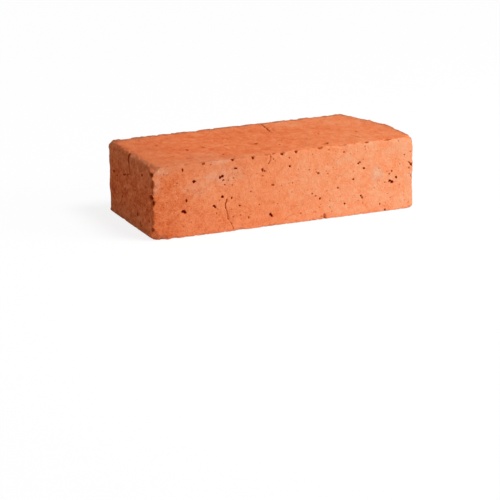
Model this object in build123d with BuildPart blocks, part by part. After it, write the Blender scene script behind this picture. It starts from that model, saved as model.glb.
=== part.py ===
from build123d import *

import os
from typing import NamedTuple

# A common clay brick, moulded and fired as one solid piece, lying on its bed face.
# Millimetres. The origin is at the middle of the bed face, on the ground.
# +X runs along the length, +Y from the front side to the back side and +Z up.

# Overall format of the brick
brick_length = 215.0
brick_width = 92.0
brick_height = 57.0

# Rounding of the arrises across the two ends, most worn at the top of the left end
left_top_radius = 4.0
right_top_radius = 1.5
bed_end_radius = 3.0

# Rounding of the arrises round the front and back sides
side_arris_radius = 1.0


class CornerChip(NamedTuple):
    """A corner broken off along a plane, which meets the three edges of that corner."""

    end: int  # -1 for the left end, 1 for the right end
    side: int  # -1 for the front side, 1 for the back side
    level: int  # -1 for the bed, 1 for the top
    along_length: float  # how far the break runs from the corner, edge by edge
    along_width: float
    along_height: float


corner_chips = [
    # Back right corner of the top, the largest break
    CornerChip(end=1, side=1, level=1, along_length=18.0, along_width=48.0, along_height=15.0),
    # Front left corner of the top
    CornerChip(end=-1, side=-1, level=1, along_length=7.0, along_width=11.0, along_height=7.5),
    # Front left corner of the bed
    CornerChip(end=-1, side=-1, level=-1, along_length=9.0, along_width=7.0, along_height=10.5),
]


def break_plane(chip: CornerChip) -> Plane:
    """The plane of a break, facing out of the brick."""
    corner = Vector(
        chip.end * brick_length / 2,
        chip.side * brick_width / 2,
        brick_height * (1 + chip.level) / 2,
    )
    on_long_edge = corner - Vector(chip.end * chip.along_length, 0, 0)
    outward = Vector(
        chip.end / chip.along_length,
        chip.side / chip.along_width,
        chip.level / chip.along_height,
    )
    return Plane(origin=on_long_edge, z_dir=outward)


with BuildPart() as brick:
    # The block, from its front elevation, where the arrises across the ends show as rounded corners
    with BuildSketch(Plane.XZ) as elevation:
        Rectangle(brick_length, brick_height, align=(Align.CENTER, Align.MIN))
        fillet(elevation.vertices().group_by(Axis.Y)[0], bed_end_radius)
        fillet(elevation.vertices().group_by(Axis.Y)[-1].sort_by(Axis.X)[0], left_top_radius)
        fillet(elevation.vertices().group_by(Axis.Y)[-1].sort_by(Axis.X)[-1], right_top_radius)
    extrude(amount=brick_width / 2, both=True)

    # The arrises round the front and back sides
    fillet(brick.faces().filter_by(Axis.Y).edges(), side_arris_radius)

    # The broken corners
    for chip in corner_chips:
        split(bisect_by=break_plane(chip), keep=Keep.BOTTOM)

brick.part.label = "brick"

os.makedirs("parts", exist_ok=True)
export_step(brick.part, "parts/brick.step")
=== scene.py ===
import math
from typing import Callable, NamedTuple

import bpy
import numpy as np
from mathutils import Matrix, Vector, kdtree, noise


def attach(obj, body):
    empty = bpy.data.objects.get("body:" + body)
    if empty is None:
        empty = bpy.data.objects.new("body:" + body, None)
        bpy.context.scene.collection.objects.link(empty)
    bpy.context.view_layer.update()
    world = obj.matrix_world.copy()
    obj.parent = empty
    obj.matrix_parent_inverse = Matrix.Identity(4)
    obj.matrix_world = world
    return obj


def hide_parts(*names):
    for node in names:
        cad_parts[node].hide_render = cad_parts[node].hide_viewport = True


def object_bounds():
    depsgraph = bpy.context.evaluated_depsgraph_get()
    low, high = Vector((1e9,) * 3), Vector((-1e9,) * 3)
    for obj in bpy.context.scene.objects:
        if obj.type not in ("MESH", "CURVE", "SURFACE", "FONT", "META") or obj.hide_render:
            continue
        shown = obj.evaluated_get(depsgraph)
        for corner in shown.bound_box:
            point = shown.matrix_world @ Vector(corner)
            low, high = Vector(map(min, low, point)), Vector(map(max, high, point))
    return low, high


# A fired clay brick lying on its bed face, seen from its front side and its left end.
# The surface is worked out in millimetres, in the frame's axes: +X along the length to the right
# end, +Y to the back side and +Z up. Blender's own values are in metres.

METRE = 1000.0  # in millimetres

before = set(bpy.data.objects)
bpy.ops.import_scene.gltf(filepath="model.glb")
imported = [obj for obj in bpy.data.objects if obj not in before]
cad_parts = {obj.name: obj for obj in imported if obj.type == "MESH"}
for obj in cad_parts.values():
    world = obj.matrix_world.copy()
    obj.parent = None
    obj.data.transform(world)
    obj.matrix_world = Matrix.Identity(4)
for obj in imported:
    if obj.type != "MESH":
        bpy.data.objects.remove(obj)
cad_low, cad_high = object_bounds()
low = np.array(cad_low) * METRE
high = np.array(cad_high) * METRE
middle = (low + high) / 2
half = (high - low) / 2
length, width, height = high - low


# Camera

AZIMUTH = math.radians(-23.54)  # from straight in front of the brick, positive to its right
ELEVATION = math.radians(16.68)
ROLL = math.radians(-0.59)
EYE_DISTANCE = 1.8743
BRICK_RIGHT_OF_AIM = 0.00842  # how far the brick's middle lies from the middle of the view
BRICK_ABOVE_AIM = 0.05837
SENSOR_MM = 36.0
LENS_MM = 175.87


def add_camera():
    """The camera, at the viewing angle of the photograph."""
    back = Vector((
        math.sin(AZIMUTH) * math.cos(ELEVATION),
        -math.cos(AZIMUTH) * math.cos(ELEVATION),
        math.sin(ELEVATION),
    ))
    level_right = Vector((math.cos(AZIMUTH), math.sin(AZIMUTH), 0))
    level_up = back.cross(level_right)
    right = level_right * math.cos(ROLL) + level_up * math.sin(ROLL)
    up = level_up * math.cos(ROLL) - level_right * math.sin(ROLL)
    eye = (cad_low + cad_high) / 2 + back * EYE_DISTANCE
    eye -= right * BRICK_RIGHT_OF_AIM + up * BRICK_ABOVE_AIM
    camera = bpy.data.objects.new("camera", bpy.data.cameras.new("camera"))
    camera.data.sensor_width = SENSOR_MM
    camera.data.lens = LENS_MM
    camera.matrix_world = Matrix((right, up, back)).transposed().to_4x4()
    camera.location = eye
    bpy.context.scene.collection.objects.link(camera)
    bpy.context.scene.camera = camera


# Shader maths


class Sock:
    """One output of a shader node. Arithmetic on it adds Math nodes to its tree."""

    def __init__(self, tree, output=None):
        self.tree = tree
        self.output = output

    def node(self, kind, settings, sockets, output=0):
        """Any node: its settings are set first, then the values or links of its sockets."""
        made = self.tree.nodes.new(kind)
        for name, value in settings.items():
            if name == "stops":
                set_stops(made.color_ramp, value)
            else:
                setattr(made, name, value)
        for name, value in sockets.items():
            if isinstance(value, Sock):
                self.tree.links.new(value.output, made.inputs[name])
            else:
                made.inputs[name].default_value = value
        return Sock(self.tree, made.outputs[output])

    def beside(self, output):
        """Another output of the same node."""
        return Sock(self.tree, self.output.node.outputs[output])

    def feed(self, socket):
        self.tree.links.new(self.output, socket)

    def math(self, operation, first, second):
        return self.node("ShaderNodeMath", {"operation": operation}, {0: first, 1: second})

    def __add__(self, other):
        return self.math("ADD", self, other)

    def __radd__(self, other):
        return self.math("ADD", other, self)

    def __sub__(self, other):
        return self.math("SUBTRACT", self, other)

    def __rsub__(self, other):
        return self.math("SUBTRACT", other, self)

    def __mul__(self, other):
        return self.math("MULTIPLY", self, other)

    def __rmul__(self, other):
        return self.math("MULTIPLY", other, self)

    def step(self, start, end):
        """0 up to start and 1 from end on, smooth in between. End may be the lower one."""
        return self.node(
            "ShaderNodeMapRange",
            {"interpolation_type": "SMOOTHSTEP"},
            {"Value": self, "From Min": start, "From Max": end},
        )

    def mix(self, share, other):
        """This colour with a share of another one."""
        # For colours, a Mix node takes its inputs 6 and 7 and gives its output 2
        return self.node("ShaderNodeMix", {"data_type": "RGBA"}, {0: share, 6: self, 7: other}, 2)


def set_stops(ramp, stops):
    """Puts the stops, each a position and a colour, on a new colour ramp."""
    first, last = ramp.elements
    first.position, first.color = stops[0]
    last.position, last.color = stops[-1]
    for position, colour in stops[1:-1]:
        ramp.elements.new(position).color = colour


# Light and floor

WHITE = (1, 1, 1, 1)
KEY_DIRECTION = Vector((0.36, -0.41, 0.84))  # from the brick to the key light
KEY_STRENGTH = 2.0
KEY_SPREAD = math.radians(24)
SIDE_PLACE = Vector((0.44, -0.42, 0.28))  # near the right end, so that its light falls off to the left
SIDE_SIZE = 0.3
SIDE_POWER = 1.4
SKY_STRENGTH = 0.28
FLOOR_SIZE = 12.0
FLOOR_COLOUR = (0.84, 0.84, 0.84, 1)
FLOOR_GLOW = 0.78  # share of plain white that the camera sees on the floor
FLOOR_WHITE = 1.07  # a little over 1, to make up for the matt share


def background_rays(tree):
    """1 for the rays that see the background: the camera's own, reflected and refracted ones."""
    camera = Sock(tree).node("ShaderNodeLightPath", {}, {}, "Is Camera Ray")
    glossy = camera.beside("Is Glossy Ray")
    clear = camera.beside("Is Transmission Ray")
    return camera.math("MAXIMUM", camera, camera.math("MAXIMUM", glossy, clear))


def add_sky():
    """An even, weak light from all sides, which the camera sees as white."""
    world = bpy.data.worlds.new("sky")
    bpy.context.scene.world = world
    world.use_nodes = True
    tree = world.node_tree
    seen = background_rays(tree)
    light = seen.node("ShaderNodeBackground", {}, {"Color": WHITE, "Strength": SKY_STRENGTH})
    white = seen.node("ShaderNodeBackground", {}, {"Color": WHITE, "Strength": 1.0})
    sky = seen.node("ShaderNodeMixShader", {}, {0: seen, 1: light, 2: white})
    sky.feed(tree.nodes["World Output"].inputs["Surface"])


def add_lamp(name, kind, place, strength, size):
    """A lamp that shines from its place towards the brick."""
    lamp = bpy.data.objects.new(name, bpy.data.lights.new(name, kind))
    lamp.data.energy = strength
    if kind == "SUN":
        lamp.data.angle = size
    else:
        lamp.data.shape = "DISK"
        lamp.data.size = size
    lamp.visible_camera = False
    lamp.location = place
    lamp.rotation_mode = "QUATERNION"
    lamp.rotation_quaternion = place.to_track_quat("Z", "Y")
    bpy.context.scene.collection.objects.link(lamp)


def add_floor():
    """A plain pale floor that keeps the brick's shadow."""
    reach = FLOOR_SIZE / 2
    mesh = bpy.data.meshes.new("floor")
    corners = [(-reach, -reach, 0), (reach, -reach, 0), (reach, reach, 0), (-reach, reach, 0)]
    mesh.from_pydata(corners, [], [(0, 1, 2, 3)])
    material = bpy.data.materials.new("pale_floor")
    material.use_nodes = True
    tree = material.node_tree
    seen = background_rays(tree)
    matt = seen.node("ShaderNodeBsdfDiffuse", {}, {"Color": FLOOR_COLOUR})
    white = seen.node("ShaderNodeEmission", {}, {"Color": WHITE, "Strength": FLOOR_WHITE})
    pale = seen.node("ShaderNodeMixShader", {}, {0: seen * FLOOR_GLOW, 1: matt, 2: white})
    pale.feed(tree.nodes["Material Output"].inputs["Surface"])
    mesh.materials.append(material)
    floor = bpy.data.objects.new("floor", mesh)
    bpy.context.scene.collection.objects.link(floor)


# Marks on the brick, in millimetres from its left end, its front side and its bed


def on_front(along, up):
    return np.array((low[0] + along, low[1], low[2] + up))


def on_top(along, back):
    return np.array((low[0] + along, low[1] + back, high[2]))


def on_left_end(back, up):
    return np.array((low[0], low[1] + back, low[2] + up))


# How far the large break runs from the back right corner of the top, along each axis
LARGE_BREAK = np.array((18.0, 48.0, 15.0))


def in_break(along, back, up):
    """A place on the large break, from the three shares of its reach, which add up to 1."""
    return high - LARGE_BREAK * np.array((along, back, up))


class Hollow(NamedTuple):
    """A dent in the surface."""

    place: np.ndarray
    reach: tuple  # half its size along X, Y and Z
    depth: float
    rim: float  # share of the reach that its wall takes up
    dark: float  # 1 for a burnt-out pit, 0 for a clean flake; the dark colour is burnt grain and painted shade in the hollow


def pit(place, reach, dark=1.0):
    """A burnt-out grain: a small hole, painted dark for its burnt core and the shade inside it."""
    return Hollow(place, reach, 0.3 + 0.6 * min(reach), 0.5, dark)


def chip(place, reach, depth, dark=0.0, rim=0.35):
    """A flake knocked off the surface. Its dark share is painted shade in the hollow."""
    return Hollow(place, reach, depth, rim, dark)


class Spot(NamedTuple):
    """A pit on a face."""

    along: float  # its place on the face
    across: float
    half_along: float  # half its size each way
    half_across: float
    # How dark the pit is painted: its burnt core and the shade inside it
    dark: float = 1.0


# Pits on the front side, from the left end and up from the bed
front_spots = [
    Spot(54.2, 42.8, 1.2, 1.3), Spot(56.0, 43.7, 1.1, 1.2), Spot(56.6, 40.6, 1.0, 0.7, 0.7),
    Spot(33.2, 42.2, 1.5, 1.2), Spot(66.8, 48.5, 1.4, 0.8), Spot(24.4, 20.3, 1.9, 1.4),
    Spot(25.6, 19.4, 1.2, 1.2), Spot(27.0, 28.3, 1.0, 1.1), Spot(48.8, 21.6, 1.1, 0.9),
    Spot(50.2, 20.6, 0.9, 0.8), Spot(55.8, 27.8, 1.2, 1.2), Spot(94.6, 9.7, 1.1, 1.2),
    Spot(95.6, 8.6, 1.1, 1.2), Spot(64.7, 55.2, 1.1, 1.4, 0.95), Spot(81.0, 55.0, 1.0, 1.6),
    Spot(88.6, 44.6, 1.0, 1.6, 0.65), Spot(90.2, 43.6, 0.7, 0.8, 0.6), Spot(104.9, 55.2, 1.2, 1.5, 0.9),
    Spot(110.6, 51.6, 0.7, 0.6, 0.7), Spot(111.0, 45.0, 0.9, 0.9), Spot(116.1, 55.7, 1.3, 1.2, 0.9),
    Spot(134.6, 36.8, 1.2, 0.9, 0.7), Spot(133.0, 38.0, 0.7, 0.6, 0.6), Spot(156.0, 50.9, 0.8, 0.7, 0.8),
    Spot(168.1, 40.8, 0.9, 0.7), Spot(169.4, 41.6, 0.9, 0.6), Spot(172.9, 36.4, 0.95, 0.95),
    Spot(163.8, 28.7, 0.9, 0.8), Spot(194.8, 24.0, 1.2, 1.1), Spot(196.8, 22.8, 1.3, 1.1),
    Spot(200.3, 26.2, 0.9, 1.0), Spot(196.6, 31.4, 0.9, 0.8), Spot(194.4, 29.4, 0.8, 0.8, 0.8),
    Spot(190.8, 23.2, 0.7, 0.6, 0.7), Spot(170.4, 14.9, 0.9, 1.1, 0.9), Spot(171.4, 13.4, 0.9, 1.0, 0.9),
    Spot(151.0, 23.6, 0.8, 0.7, 0.85), Spot(135.8, 17.0, 0.9, 0.9, 0.75),
    Spot(132.4, 19.4, 0.7, 0.8, 0.8), Spot(129.6, 21.6, 0.7, 0.7, 0.75),
    Spot(156.6, 10.2, 0.8, 0.8, 0.85), Spot(69.8, 19.5, 0.9, 0.9),
    Spot(78.6, 29.2, 0.6, 0.6, 0.6), Spot(97.0, 32.0, 1.6, 1.1, 0.5), Spot(76.9, 9.6, 0.7, 1.0, 0.7),
    Spot(63.2, 26.0, 0.6, 1.2, 0.75), Spot(186.4, 6.4, 0.7, 0.7, 0.6), Spot(191.0, 1.4, 0.9, 1.0, 0.8),
    Spot(119.8, 7.2, 0.6, 0.6, 0.6), Spot(113.0, 32.0, 0.6, 0.6, 0.6),
    Spot(41.0, 54.6, 1.5, 0.8, 0.75), Spot(47.0, 53.4, 0.7, 0.5, 0.7), Spot(24.3, 51.8, 0.8, 1.3, 0.9),
    Spot(57.8, 36.8, 0.9, 0.6, 0.7), Spot(60.6, 40.0, 0.5, 0.7, 0.5), Spot(127.0, 40.3, 0.7, 0.7, 0.7),
    Spot(51.0, 15.6, 0.6, 0.8, 0.65), Spot(85.6, 18.2, 0.6, 0.6, 0.65),
]

# Pits on the left end, back from the front side and up from the bed
left_end_spots = [
    Spot(80.6, 34.8, 2.6, 1.1, 0.8), Spot(74.0, 33.0, 1.6, 0.9, 0.6), Spot(21.1, 46.0, 1.9, 1.1, 0.85),
    Spot(63.3, 19.1, 1.7, 1.0, 0.8), Spot(38.5, 18.5, 1.1, 1.4, 0.7), Spot(32.0, 13.1, 1.8, 1.7, 0.75),
    Spot(28.5, 15.5, 1.0, 1.1, 0.6), Spot(25.8, 7.2, 1.0, 2.4, 0.75), Spot(58.0, 26.0, 1.6, 0.9, 0.6),
    Spot(36.0, 31.0, 1.5, 1.0, 0.65), Spot(14.0, 38.0, 1.2, 1.3, 0.6), Spot(70.0, 45.0, 1.5, 0.8, 0.6),
    Spot(46.0, 9.0, 1.3, 0.9, 0.6), Spot(12.0, 22.0, 1.2, 1.1, 0.6), Spot(84.0, 20.0, 1.5, 0.9, 0.6),
    Spot(30.0, 24.0, 1.2, 0.8, 0.6), Spot(52.0, 33.0, 1.3, 0.8, 0.55), Spot(8.0, 14.0, 1.1, 1.4, 0.5),
]

# Pits on the top, from the left end and back from the front side
top_spots = [
    Spot(42.9, 36.9, 1.1, 2.3, 0.85), Spot(25.2, 23.5, 2.0, 1.6, 0.45), Spot(57.0, 39.5, 1.8, 2.4, 0.35),
    Spot(97.2, 32.2, 1.7, 1.8, 0.8), Spot(144.0, 9.0, 3.0, 2.2, 0.45), Spot(147.0, 11.0, 1.2, 1.6, 0.6),
    Spot(74.0, 37.0, 1.5, 1.8, 0.4), Spot(27.0, 60.0, 1.0, 2.0, 0.45), Spot(128.0, 70.0, 1.2, 1.6, 0.35),
    Spot(112.0, 22.0, 1.3, 1.6, 0.4), Spot(33.0, 14.0, 1.4, 1.6, 0.4), Spot(153.0, 40.0, 1.2, 2.0, 0.4),
    Spot(84.0, 58.0, 1.4, 1.8, 0.35), Spot(182.0, 34.0, 1.2, 1.8, 0.4), Spot(62.0, 13.0, 1.2, 1.8, 0.45),
    Spot(36.0, 72.0, 1.6, 1.8, 0.35),
]

# A flake's dark share is painted shade in its hollow
flakes = [
    # The back arris of the top: spalled near the left end up to a clear step, and nicked further on
    chip(on_top(14, 95), (6, 9, 9), 0.6, rim=0.15),
    chip(on_top(39, 92), (2.5, 3, 2), 0.8, 0.5),
    chip(on_top(49, 92), (4, 2.5, 2), 0.7, 0.4),
    chip(on_top(72, 92), (2.5, 2.5, 2), 0.8, 0.5),
    chip(on_top(157, 92), (3, 3, 2), 0.9, 0.6),
    # The top arris of the left end, and its back corner
    chip(on_top(0, 92), (4, 6, 5), 0.8, rim=0.8),
    chip(on_left_end(49, 53), (4, 1.8, 4.5), 1.9, 0.8, rim=0.6),
    chip(on_left_end(42, 56), (5, 6, 3.5), 0.8),
    chip(on_left_end(20, 55), (5, 9, 4), 0.6, rim=0.6),
    # The back left upright arris
    chip(on_left_end(92, 11), (4, 6, 10), 0.8, rim=0.8),
    chip(on_left_end(92, 33), (4, 6, 12), 0.5, rim=0.8),
    # The front left upright arris
    chip(on_left_end(2.8, 50.4), (2.6, 3.2, 1.9), 1.6, 0.75),
    chip(on_left_end(1.2, 43.5), (2.2, 3.2, 4.0), 1.5, 0.55),
    chip(on_left_end(0, 37.5), (1.8, 1.8, 2.0), 0.8),
    chip(on_left_end(3.4, 33.3), (2.4, 4.4, 1.8), 1.5, 0.75),
    chip(on_left_end(0.2, 29.4), (2.5, 3.2, 2.8), 1.7, 0.8),
    chip(on_left_end(0, 21.5), (1.8, 1.8, 3.0), 0.7),
    chip(on_left_end(0, 14.5), (1.6, 1.6, 2.2), 0.7, 0.2),
    chip(on_left_end(2.4, 8.9), (2.4, 3.4, 1.8), 1.2, 0.6),
    # The front arris of the bed
    chip(on_front(8, 1.5), (4, 4, 3), 1.3),
    chip(on_front(17, 0.5), (4, 3, 2), 0.8),
    chip(on_front(139.6, 1), (1.6, 3, 4.5), 1.0, 0.3),
    # The front arris of the top
    chip(on_front(25, 56.6), (9, 3.5, 2.5), 0.6, rim=0.7),
    chip(on_front(41, 56.4), (2.0, 3, 1.6), 1.0, 0.35),
    chip(on_front(65.4, 56.3), (1.4, 3, 1.6), 1.0, 0.3),
    chip(on_front(81.5, 56.0), (1.3, 3, 2.0), 1.1, 0.35),
    chip(on_front(92, 56.6), (2.5, 3, 2), 0.7, 0.3),
    chip(on_front(98, 56.6), (1.6, 3, 1.5), 0.8, 0.4),
    chip(on_front(105.4, 56.2), (1.7, 3, 2.0), 1.1, 0.3),
    chip(on_front(116.3, 56.6), (1.8, 3, 1.5), 1.0, 0.4),
    chip(on_front(136, 56.6), (2.5, 2.5, 1.5), 0.7, 0.5),
    chip(on_front(155, 56.6), (3, 2.5, 1.8), 0.5),
    chip(on_front(175.2, 56.8), (2.0, 2.5, 1.3), 0.8, 0.6),
    chip(on_front(193.2, 56.8), (3.2, 2.5, 1.1), 0.8, 0.6),
    # The front right upright arris and its top corner
    chip(on_front(215, 57), (6, 9, 6), 1.4, rim=0.8),
    chip(on_front(213.6, 34.8), (1.6, 3, 1.4), 1.0, 0.5),
    chip(on_front(211.2, 32.3), (1.1, 2, 0.9), 0.7, 0.3),
    chip(on_front(213.8, 26), (1.6, 3, 1.8), 0.9, 0.4),
    chip(on_front(215, 20), (4, 6, 9), 0.7, rim=0.8),
    # Burnt-out grains that the large break laid open
    pit(in_break(0.46, 0.22, 0.32), (1.2, 1.3, 1.1), 0.9),
    pit(in_break(0.25, 0.50, 0.25), (0.9, 1.1, 0.9), 0.8),
    pit(in_break(0.20, 0.26, 0.54), (1.0, 0.9, 1.0), 0.85),
    pit(in_break(0.62, 0.18, 0.20), (0.8, 0.8, 0.8), 0.8),
]


class Crack(NamedTuple):
    """A thin crack or scratch along a line of points on a face, painted dark for the shade inside it."""

    on_face: Callable  # on_front, on_top or on_left_end
    points: list
    width: float = 0.5
    dark: float = 0.6

    def line(self):
        return [self.on_face(*point) for point in self.points]


cracks = [
    Crack(on_front, [(59.6, 26), (58, 20.8), (60.4, 10.2)], 0.7, 0.75),
    Crack(on_front, [(60.4, 10.2), (63.1, 6), (64.3, 1.5)], 0.6, 0.65),
    Crack(on_front, [(95.2, 56), (95.6, 52), (93.4, 48.9)], 0.7, 0.7),
    Crack(on_front, [(139, 6.3), (139.8, 0.5)]),
    Crack(on_front, [(211.2, 36.8), (214.6, 33.8)], 1.2, 0.75),
    Crack(on_top, [(126.6, 90), (124.4, 72), (122.9, 63)], 1.0, 0.75),
    Crack(on_top, [(122.9, 63), (120.6, 50)], 0.5, 0.25),
    Crack(on_top, [(173.5, 26.7), (176.8, 16)], 0.9, 0.45),
    Crack(on_top, [(12, 40.6), (18, 39.6), (24, 37.4)], 0.8, 0.4),
    Crack(on_top, [(54.5, 43), (59.5, 36)], 0.6, 0.35),
    Crack(on_left_end, [(49, 54), (47.5, 47), (46, 41)], 1.7, 0.8),
    Crack(on_left_end, [(61, 37), (52, 39), (45.5, 41)], 1.2, 0.8),
    Crack(on_left_end, [(36, 53), (35.4, 40)], 0.8, 0.4),
    Crack(on_left_end, [(57, 24), (58, 8)], 0.8, 0.4),
    Crack(on_left_end, [(1.8, 52), (2.6, 44), (2.0, 36), (2.8, 26)], 1.6, 0.3),
]

# The arrises round the back of the left end and of the top, browned partly by weather and partly as
# painted shade of their rounded edges
weathered_and_shaded_line = [
    on_left_end(width, 0),
    on_left_end(width, height),
    on_top(length - LARGE_BREAK[0], width),
    on_top(length, width - LARGE_BREAK[1]),
    on_top(length, 10),
]


class Smear(NamedTuple):
    """Pale dust or a scuff."""

    place: np.ndarray
    reach: tuple  # half its size along X, Y and Z
    strength: float


smears = [
    Smear(on_front(56, 43.5), (30, 9, 10), 0.46),
    Smear(on_front(55, 55.5), (15, 6, 4), 0.5),
    Smear(on_front(36, 37), (16, 9, 11), 0.36),
    Smear(on_front(7, 51.5), (9, 9, 5), 0.45),
    Smear(on_front(3.5, 42), (5, 9, 12), 0.38),
    Smear(on_front(11.6, 50.9), (2.4, 3, 1.1), 1.0),
    Smear(on_front(183.5, 31), (8, 9, 8), 0.78),
    Smear(on_front(160, 44.3), (18, 9, 4), 0.3),
    Smear(on_front(200, 48), (18, 9, 9), 0.35),
    Smear(on_left_end(44, 55.3), (3, 3.5, 1.4), 0.9),
    Smear(on_top(46, 15), (24, 20, 8), 0.26),
]

# Marks placed by chance

SEED = 7


class StrewnPits(NamedTuple):
    """How small pits are strewn over a face."""

    spacing: float  # millimetres from one to the next
    spread: float  # about how much the reach of the largest is over that of the smallest
    darkness: tuple  # of the palest and of the darkest


SEEN_PITS = StrewnPits(spacing=11.0, spread=0.25, darkness=(0.3, 0.65))
HIDDEN_PITS = StrewnPits(spacing=14.0, spread=1.4, darkness=(0.5, 1.0))
SMALLEST_PIT = 0.4  # half its size
PIT_MARGIN = 2.0  # least distance of such a pit from the arrises
NICK_SPACING = 24.0
SMALLEST_NICK = 1.3
NICK_SPREAD = 1.9


def chance_pits():
    """Small pits all over. The hidden sides get larger ones too, as the front has."""
    chance = np.random.default_rng(SEED)
    found = []
    for axis in range(3):
        across = [other for other in range(3) if other != axis]
        area = 4 * half[across[0]] * half[across[1]]
        for side in (low, high):
            # The left end, the front and the top are seen
            seen = (axis < 2) == (side is low)
            strewn = SEEN_PITS if seen else HIDDEN_PITS
            for _ in range(int(area / strewn.spacing**2)):
                place = chance.uniform(low + PIT_MARGIN, high - PIT_MARGIN)
                place[axis] = side[axis]
                reach = SMALLEST_PIT + strewn.spread * chance.random() ** 3 * chance.uniform(0.7, 1.3, 3)
                found.append(pit(place, tuple(reach), chance.uniform(*strewn.darkness)))
    return found


def chance_nicks():
    """Small nicks along the twelve arrises."""
    chance = np.random.default_rng(SEED + 1)
    found = []
    for axis in range(3):
        across = [other for other in range(3) if other != axis]
        for first in (low, high):
            for second in (low, high):
                for _ in range(int(2 * half[axis] / NICK_SPACING)):
                    place = chance.uniform(low, high)
                    place[across[0]] = first[across[0]]
                    place[across[1]] = second[across[1]]
                    size = SMALLEST_NICK + NICK_SPREAD * chance.random() ** 2
                    reach = np.full(3, size)
                    reach[axis] *= 1 + chance.random()
                    found.append(chip(place, tuple(reach), 0.3 + 0.25 * size * chance.random()))
    return found


PIT_INTO = 1.2  # reach of a pit into the brick, past the wavy surface


def all_hollows():
    """Every pit, flake and nick of the brick."""
    found = []
    for spot in front_spots:
        reach = (spot.half_along, PIT_INTO, spot.half_across)
        found.append(pit(on_front(spot.along, spot.across), reach, spot.dark))
    for spot in left_end_spots:
        reach = (PIT_INTO, spot.half_along, spot.half_across)
        found.append(pit(on_left_end(spot.along, spot.across), reach, spot.dark))
    for spot in top_spots:
        reach = (spot.half_along, spot.half_across, PIT_INTO)
        found.append(pit(on_top(spot.along, spot.across), reach, spot.dark))
    return found + flakes + chance_pits() + chance_nicks()


# Surface of the clay

MESH_STEP = 0.52  # millimetres between the points that carry the relief
MOST_TRIANGLES = 194000
BOX_GAP = 0.005  # millimetres by which the mesh stays inside the CAD box

# Heights and depths of the relief, in millimetres
BROAD_WAVE = 0.16
LOW_LUMP = 0.07
SAND_GRAIN = 0.04
DRAG_MARK = 0.06
TOP_DENT = 0.5
CRUMBLED_ARRIS = 0.5
WORN_FRONT = 1.1
WORN_LEFT_END = 0.9
CRACK_DEPTH = 0.5
RAGGED_EDGE = 0.55  # by which the edge of a pit or flake wanders
SUNK = 0.6  # share of a wave's height that it is lowered by, to keep most of it under the plain surface


def lumps(points, size, seed):
    """Smooth chance heights from about -1 to 1, in lumps of one size or of one for each axis."""
    shift = Vector((seed * 17.3, seed * 5.7, seed * 11.9))
    return np.array([noise.noise(Vector(p) + shift) for p in points / size])


def ease(values, start, end):
    """0 up to start and 1 from end on, smooth in between. End may be the lower one."""
    share = np.clip((values - start) / (end - start), 0, 1)
    return share * share * (3 - 2 * share)


def line_distance(points, line):
    """The distance of each point from a line of points."""
    nearest = np.full(len(points), np.inf)
    for start, end in zip(line, line[1:]):
        run = end - start
        share = np.clip((points - start) @ run / (run @ run), 0, 1)
        nearest = np.minimum(nearest, np.linalg.norm(points - start - share[:, None] * run, axis=1))
    return nearest


def point_tree(points):
    tree = kdtree.KDTree(len(points))
    for index, point in enumerate(points):
        tree.insert(point, index)
    tree.balance()
    return tree


class Relief(NamedTuple):
    """What the clay does at each point of the mesh."""

    sink: np.ndarray  # depth below the plain surface, in millimetres
    dark: np.ndarray  # 1 at the bottom of a pit or crack: burnt grain and painted shade in the hollow
    broken: np.ndarray  # 1 where the fired skin is gone
    dust: np.ndarray  # 1 under pale dust
    weathered: np.ndarray  # 1 along the browned back arrises: partly weathering, partly painted shade of their rounded edges
    top: np.ndarray  # 1 where the plain surface faces up
    left_end: np.ndarray  # 1 where the plain surface faces left, and on the back half of its top arris: where the left end's shade is painted


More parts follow.
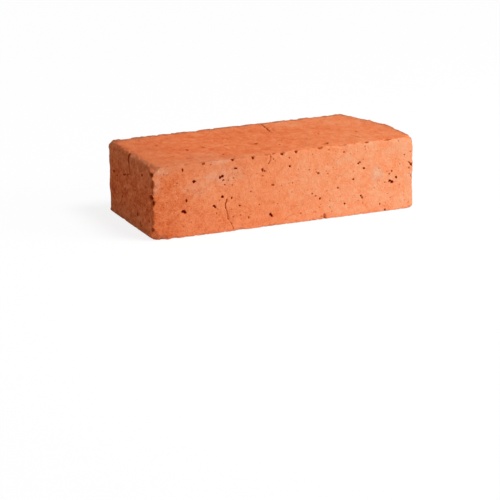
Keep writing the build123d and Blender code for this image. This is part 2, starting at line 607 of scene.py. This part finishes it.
def clay_relief(points, normals):
    """Works out the relief and the marks at each point of the plain surface."""
    inside = np.sort(half - np.abs(points - middle), axis=1)
    under_face, from_arris = inside[:, 0], inside[:, 1]
    from_left, from_front, _ = (points - low).T
    from_top = high[2] - points[:, 2]
    on_top_face = ease(from_top, 2.5, 1.0)
    coarse = lumps(points, 5.0, 3)
    fine = lumps(points, 1.9, 4)

    # Faces: broad waves, low lumps and grain, and drag marks and dents on the struck top
    sink = BROAD_WAVE * (SUNK + lumps(points, 48.0, 1))
    sink += LOW_LUMP * (SUNK + lumps(points, 9.0, 2))
    sink += SAND_GRAIN * (SUNK + fine)
    sink += on_top_face * DRAG_MARK * (SUNK + lumps(points, np.array((24.0, 4.0, 9.0)), 5))
    sink += on_top_face * TOP_DENT * np.maximum(0, lumps(points, np.array((9.0, 12.0, 9.0)), 8))

    # Arrises: crumbled here and there, and worn round along the top of the front and the left end
    crumbled = ease(coarse + 0.6 * fine, -0.1, 0.9) * ease(from_arris, 3.0, 0.5)
    sink += CRUMBLED_ARRIS * crumbled
    front_arris = ease(np.maximum(from_front, from_top), 6.0, 0.3) * ease(from_left, 130, 50)
    left_arris = ease(np.maximum(from_left, from_top), 6.0, 0.5)
    ragged = 0.35 + 2.2 * np.maximum(0, lumps(points, 4.0, 10))
    sink += np.maximum((WORN_FRONT + 0.5 * coarse) * front_arris, WORN_LEFT_END * ragged * left_arris)

    # Broken corners: rough all over, the large one torn
    torn = ease(((high - points) / LARGE_BREAK).sum(axis=1) + 0.06 * coarse, 1.09, 1.01)
    broken = np.maximum(ease(under_face, 1.6, 2.4), torn)
    sink += broken * (0.25 * (1 + coarse) + 0.12 * (1 + fine))
    sink += torn * (1.3 * lumps(points, 9.0, 9) + 0.6 * coarse + 0.35 * fine)

    # Pits, flakes and nicks, each with a ragged edge. One inside another doesn't add its whole depth
    dark = np.zeros(len(points))
    wobble = RAGGED_EDGE * lumps(points, 1.2, 6)
    tree = point_tree(points)
    for hollow in all_hollows():
        reached = tree.find_range(Vector(hollow.place), 1.7 * max(hollow.reach))
        near = np.array([index for _, index, _ in reached], int)
        offset = (points[near] - hollow.place) / np.array(hollow.reach)
        distance = np.linalg.norm(offset, axis=1) + wobble[near] / np.mean(hollow.reach)
        share = ease(distance, 1.0, 1.0 - hollow.rim)
        sink[near] += np.maximum(0, hollow.depth - np.maximum(0, sink[near] - 0.4)) * share
        # Painted dark: the burnt core of a pit and the shade inside a hollow
        dark[near] = np.maximum(dark[near], hollow.dark * ease(distance, 1.2, 0.65))
        broken[near] = np.maximum(broken[near], (1 - hollow.dark) * share)

    # Cracks, wandering a little, painted dark for the shade inside them
    wander = points + 0.6 * np.stack([fine, coarse, fine], axis=1)
    opened = ease(lumps(points, 3.0, 7), -0.7, -0.2)
    for crack in cracks:
        share = opened * ease(line_distance(wander, crack.line()), crack.width, 0.2 * crack.width)
        sink += CRACK_DEPTH * share
        dark = np.maximum(dark, crack.dark * share)

    # Dust
    dust = np.zeros(len(points))
    uneven = 1 + 0.5 * coarse
    for smear in smears:
        offset = (points - smear.place) / np.array(smear.reach)
        distance = np.linalg.norm(offset, axis=1) * uneven
        dust = np.maximum(dust, smear.strength * ease(distance, 1.2, 0.2))

    # Browned rim, partly weathering and partly painted shade: widest on the top near the left end, and
    # weaker beside the large break
    rim_width = 5.5 + on_top_face * (2 + 7 * ease(from_left, 34, 12))
    weathered = ease(line_distance(points, weathered_and_shaded_line) + 5 * coarse + 3 * fine, rim_width, 0.5)
    weathered *= 1 - 0.3 * ease(from_left, 188, 200)

    # Faces with a tone of their own: the top, and the left end, whose darker tone is painted shade
    top = ease(normals[:, 2], 0.55, 0.85)
    left_end = ease(0.35 * ease(from_front, 40, 58) - normals[:, 0], 0.55, 0.85)
    return Relief(sink, dark, np.maximum(broken, 0.6 * crumbled), dust, weathered, top, left_end)


def finished_mesh(piece, modifier):
    """The mesh of a piece with its one modifier applied."""
    bpy.context.view_layer.update()
    made = bpy.data.meshes.new_from_object(piece.evaluated_get(bpy.context.evaluated_depsgraph_get()))
    piece.modifiers.remove(modifier)
    return made


def read_points(mesh, field):
    values = np.empty(len(mesh.vertices) * 3)
    mesh.vertices.foreach_get(field, values)
    return values.reshape(-1, 3)


def keep_value(mesh, name, values):
    """Stores a number for each point, which the material reads."""
    attribute = mesh.attributes.new(name, "FLOAT", "POINT")
    attribute.data.foreach_set("value", values.astype(np.float32))


def add_brick():
    """The brick: the CAD solid meshed finely, sunk by its relief and thinned where it is smooth."""
    piece = bpy.data.objects.new("brick_body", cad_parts["brick"].data.copy())
    bpy.context.scene.collection.objects.link(piece)
    even = piece.modifiers.new("even_mesh", "REMESH")
    even.mode = "VOXEL"
    even.voxel_size = MESH_STEP / METRE
    piece.data = finished_mesh(piece, even)

    points = read_points(piece.data, "co") * METRE
    normals = read_points(piece.data, "normal")
    relief = clay_relief(points, normals)
    points -= normals * relief.sink[:, None]
    piece.data.vertices.foreach_set("co", (points / METRE).ravel())
    piece.data.update()

    thin = piece.modifiers.new("thin_mesh", "DECIMATE")
    thin.ratio = MOST_TRIANGLES / sum(len(face.vertices) - 2 for face in piece.data.polygons)
    thin.use_collapse_triangulate = True
    piece.data = finished_mesh(piece, thin)

    kept_points = np.clip(read_points(piece.data, "co") * METRE, low + BOX_GAP, high - BOX_GAP)
    piece.data.vertices.foreach_set("co", (kept_points / METRE).ravel())
    piece.data.update()
    tree = point_tree(points)
    nearest = [tree.find(point)[1] for point in kept_points]
    for name in ("dark", "broken", "dust", "weathered", "top", "left_end"):
        keep_value(piece.data, name, getattr(relief, name)[nearest])
    piece.data.shade_smooth()
    return piece


UV_GAP = 4.0  # millimetres between the unfolded faces


def unfold(mesh):
    """Lays the brick's six faces side by side, all at the same scale, as its UV map."""
    corners = np.empty(len(mesh.loops), int)
    mesh.loops.foreach_get("vertex_index", corners)
    centres = np.empty(len(mesh.polygons) * 3)
    mesh.polygons.foreach_get("center", centres)
    sizes = np.empty(len(mesh.polygons), int)
    mesh.polygons.foreach_get("loop_total", sizes)
    centres = centres.reshape(-1, 3) * METRE
    nearest_face = np.argmin(np.concatenate([centres - low, high - centres], axis=1), axis=1)
    face_of_corner = np.repeat(nearest_face, sizes)

    from_low = read_points(mesh, "co")[corners] * METRE - low
    column = length + 2 * UV_GAP
    rows = np.cumsum([UV_GAP, width + UV_GAP, width + UV_GAP, height + UV_GAP, height + UV_GAP])
    # Each face's two axes, and where its corner lies: left end, front, bed, right end, back and top
    layout = [
        (2, 1, column, rows[0]),
        (0, 2, UV_GAP, rows[2]),
        (0, 1, UV_GAP, rows[0]),
        (2, 1, column, rows[1]),
        (0, 2, UV_GAP, rows[3]),
        (0, 1, UV_GAP, rows[1]),
    ]
    flat = np.zeros((len(corners), 2))
    for face, (first, second, start, row) in enumerate(layout):
        chosen = face_of_corner == face
        flat[chosen, 0] = start + from_low[chosen, first]
        flat[chosen, 1] = row + from_low[chosen, second]
    layer = mesh.uv_layers.new(name="OFBake")
    layer.data.foreach_set("uv", (flat / rows[-1]).ravel())


# Fired clay

SIDE_TONES = [
    (0.0, (0.61, 0.107, 0.022, 1)),
    (0.4, (0.82, 0.237, 0.093, 1)),
    (0.6, (0.865, 0.281, 0.120, 1)),
    (1.0, (0.85, 0.41, 0.228, 1)),
]
TOP_TONES = [
    (0.0, (0.70, 0.112, 0.026, 1)),
    (0.5, (0.86, 0.228, 0.083, 1)),
    (1.0, (0.94, 0.37, 0.18, 1)),
]
# The left end's tones, darker and redder than the sides: painted shade
SHADED_LEFT_END_TONES = [
    (0.0, (0.40, 0.034, 0.002, 1)),
    (0.5, (0.61, 0.130, 0.037, 1)),
    (1.0, (0.87, 0.255, 0.103, 1)),
]
# The browned rim on the back arrises: partly weathering, partly painted shade
WEATHERED_AND_SHADED_TOP = (0.36, 0.14, 0.075, 1)
WEATHERED_AND_SHADED_END = (0.48, 0.155, 0.075, 1)
# Darker clay for worn arrises, also used as painted shade near the left end and below the front top
# arris
WORN_ARRIS_AND_SHADE = (0.66, 0.205, 0.088, 1)
DULL_END = (0.55, 0.182, 0.074, 1)
PALE_GRAIN = (0.86, 0.42, 0.26, 1)
DUST = (0.77, 0.385, 0.235, 1)
LIME = (0.92, 0.60, 0.38, 1)
FRESH_CLAY = (0.76, 0.25, 0.115, 1)
# Dark colours of pits, cracks and flakes: burnt grain and painted shade in the hollows
PIT_EDGE_AND_SHADE = (0.47, 0.075, 0.010, 1)
PIT_CORE_AND_SHADE = (0.16, 0.004, 0.0, 1)
SPECK_DARK = (0.46, 0.055, 0.008, 1)
CLAY_SHINE = 0.04  # the clay is porous, and hardly reflects
BUMP_DEPTH = 0.5  # millimetres


def kept_value(tree, name):
    """A number that the mesh keeps for each point."""
    return Sock(tree).node("ShaderNodeAttribute", {"attribute_name": name}, {}, "Fac")


def clay_noise(place, size, detail, rough=0.5):
    """Noise with lumps of that size in millimetres, spread over 0 to 1."""
    raw = place.node(
        "ShaderNodeTexNoise",
        {},
        {"Vector": place, "Scale": METRE / size, "Detail": detail, "Roughness": rough},
        "Fac",
    )
    return raw.step(0.28, 0.72)


def specks(place, spacing, radius, share):
    """Round specks of that radius in millimetres, in a share of the cells of that spacing."""
    distance = place.node(
        "ShaderNodeTexVoronoi",
        {},
        {"Vector": place, "Scale": METRE / spacing},
        "Distance",
    )
    chance = distance.node("ShaderNodeSeparateColor", {}, {"Color": distance.beside("Color")}, "Red")
    chosen = chance.step(share + 0.02, share - 0.02)
    return distance.step(radius / spacing, 0.35 * radius / spacing) * chosen


def hairlines(place, spacing, line_width, wander):
    """Fine wandering lines round cells of that spacing, in millimetres."""
    drift = place.node(
        "ShaderNodeTexNoise",
        {},
        {"Vector": place, "Scale": METRE / spacing, "Detail": 4.0},
        "Color",
    )
    moved = place.node(
        "ShaderNodeVectorMath",
        {"operation": "MULTIPLY_ADD"},
        {0: drift, 1: (wander / METRE,) * 3, 2: place},
    )
    edge = place.node(
        "ShaderNodeTexVoronoi",
        {"feature": "DISTANCE_TO_EDGE"},
        {"Vector": moved, "Scale": METRE / spacing},
    )
    return edge.step(line_width / spacing, 0.2 * line_width / spacing)


def stretched(place, reach):
    """Coordinates in which lumps of 1 mm are drawn out to that reach along each axis."""
    return place.node(
        "ShaderNodeVectorMath",
        {"operation": "MULTIPLY"},
        {0: place, 1: tuple(1 / size for size in reach)},
    )


def tone_colour(tone, stops):
    return tone.node("ShaderNodeValToRGB", {"stops": stops}, {"Fac": tone}, "Color")


def fired_clay():
    """Orange fired clay: uneven in tone, dusted, speckled, with dark pits and fresh breaks."""
    material = bpy.data.materials.new("fired_clay")
    material.use_nodes = True
    tree = material.node_tree
    shader = tree.nodes["Principled BSDF"]
    dark = kept_value(tree, "dark")
    broken = kept_value(tree, "broken")
    dust = kept_value(tree, "dust")
    weathered = kept_value(tree, "weathered")
    top = kept_value(tree, "top")
    left_end = kept_value(tree, "left_end")

    # Places in millimetres from the left end, the front side and the bed
    place = Sock(tree).node("ShaderNodeTexCoord", {}, {}, "Object")
    from_corner = place.node(
        "ShaderNodeVectorMath",
        {"operation": "MULTIPLY_ADD"},
        {0: place, 1: (METRE,) * 3, 2: tuple(-low)},
    )
    from_left = place.node("ShaderNodeSeparateXYZ", {}, {"Vector": from_corner}, "X")
    from_front = from_left.beside("Y")
    from_bed = from_left.beside("Z")
    firing = from_left.step(0, length)
    left_half = from_left.step(120, 50)
    # Near the left end the sides and the top get painted shade
    near_left = from_left.step(50, 5)
    # The band along the front top arris, darkened on the left half as painted shade
    front_arris = from_bed.step(height - 12, height) * from_front.step(14, 0)
    left_arris = from_bed.step(height - 6, height) * from_left.step(10, 0)
    front_half = from_front.step(width / 2 + 8, width / 2 - 8)
    lower = from_bed.step(height / 2, 0)
    upper = from_bed.step(height / 2, height)

    # Unevenness, from broad patches down to single grains
    patches = clay_noise(place, 38, 3)
    mottle = clay_noise(place, 7, 4, 0.6)
    blots = clay_noise(place, 3.0, 3, 0.6)
    grain = clay_noise(place, 1.2, 2, 0.7)
    fine_grain = blots * 0.5 + grain * 0.5
    streaks = clay_noise(stretched(place, (30, 14, 9)), 1.0, 3, 0.6)
    dents = clay_noise(stretched(place, (5, 8, 5)), 1.0, 4, 0.65)
    soot = clay_noise(stretched(place, (8, 6, 3.8)), 1.0, 5, 0.7)

    # The sides, from deep orange at the left end to peach at the right, darkened next to the left end by
    # painted shade
    side_tone = firing * 0.36 - near_left * 0.06 + patches * 0.16 + blots * 0.22 + grain * 0.26 - 0.045
    side_tone = side_tone + mottle * (0.20 - near_left * 0.10)
    clay = tone_colour(side_tone, SIDE_TONES)

    # The struck top, with its browned rim (partly weathering, partly painted shade), painted shade near
    # the left end, and its worn front arris, darkened on the left half by painted shade
    top_tone = firing * 0.42 + patches * 0.12 - 0.23
    top_tone = top_tone + (dents * 0.40 + streaks * 0.22) * (1 - firing * 0.28)
    top_tone = top_tone + fine_grain * (0.42 - firing * 0.16)
    top_clay = tone_colour(top_tone, TOP_TONES)
    top_clay = top_clay.mix(near_left * 0.4, WORN_ARRIS_AND_SHADE)
    top_clay = top_clay.mix(weathered * (0.6 + blots * 0.5), WEATHERED_AND_SHADED_TOP)
    clay = clay.mix(top, top_clay)
    clay = clay.mix(front_arris * left_half * (0.5 + mottle * 0.4), WORN_ARRIS_AND_SHADE)

    # The left end, its darker, redder tone painted shade, with sooty blotches, dull in its upper half,
    # with its worn top arris
    # Lighter towards the bed: painted light thrown up from below
    shaded_end_tone = soot * 0.58 + patches * 0.12 + lower * 0.32 + fine_grain * 0.54 - 0.16
    shaded_end_clay = tone_colour(shaded_end_tone, SHADED_LEFT_END_TONES)
    shaded_end_clay = shaded_end_clay.mix(upper * 0.35, DULL_END)
    # The browned rim along its back arris: partly weathering, partly painted shade
    shaded_end_clay = shaded_end_clay.mix(weathered * 0.8, WEATHERED_AND_SHADED_END)
    clay = clay.mix(left_end, shaded_end_clay)
    # The worn top arris, darkened in its front half partly as painted shade
    clay = clay.mix(left_arris * front_half * (0.2 + mottle * 0.6), WORN_ARRIS_AND_SHADE)

    # Dust, lime and fresh breaks
    clay = clay.mix(dust.step(0.0, 0.8) * (0.25 + blots * 0.5 + grain * 0.4), DUST)
    clay = clay.mix(dust.step(0.7, 0.95), LIME)
    clay = clay.mix(broken * (1 - left_end) * (0.25 + mottle * 0.6), FRESH_CLAY)

    # Specks, hairlines, and pits and cracks painted dark for burnt grain and the shade inside them
    pale_specks = specks(place, 3.1, 0.6, 0.4) * (0.5 + near_left * 0.25 - left_end * 0.5)
    clay = clay.mix(pale_specks, PALE_GRAIN)
    clay = clay.mix(specks(place, 2.3, 0.55, 0.30) * 0.5, SPECK_DARK)
    clay = clay.mix(specks(place, 4.7, 0.8, 0.35) * 0.6, SPECK_DARK)
    crazed = clay_noise(place, 26, 2).step(0.55, 0.9)
    clay = clay.mix(hairlines(place, 19, 0.45, 12) * crazed * 0.2, SPECK_DARK)
    clay = clay.mix(dark.step(0.0, 0.7), PIT_EDGE_AND_SHADE)
    clay = clay.mix(dark.step(0.4, 1.0), PIT_CORE_AND_SHADE)

    rough = 0.86 + grain * 0.12
    bump = place.node(
        "ShaderNodeBump",
        {},
        {
            "Strength": 0.4,
            "Distance": BUMP_DEPTH / METRE,
            "Height": grain * 0.5 + blots * 0.35 + mottle * 0.15,
        },
    )
    clay.feed(shader.inputs["Base Color"])
    rough.feed(shader.inputs["Roughness"])
    bump.feed(shader.inputs["Normal"])
    shader.inputs["Specular IOR Level"].default_value = CLAY_SHINE
    return material


# The scene

add_camera()
add_sky()
add_lamp("key_light", "SUN", KEY_DIRECTION, KEY_STRENGTH, KEY_SPREAD)
add_lamp("side_light", "AREA", SIDE_PLACE, SIDE_POWER, SIDE_SIZE)
add_floor()

brick = add_brick()
unfold(brick.data)
brick.data.materials.clear()
brick.data.materials.append(fired_clay())
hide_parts("brick")
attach(brick, "root")

bpy.context.scene.view_settings.view_transform = "Standard"
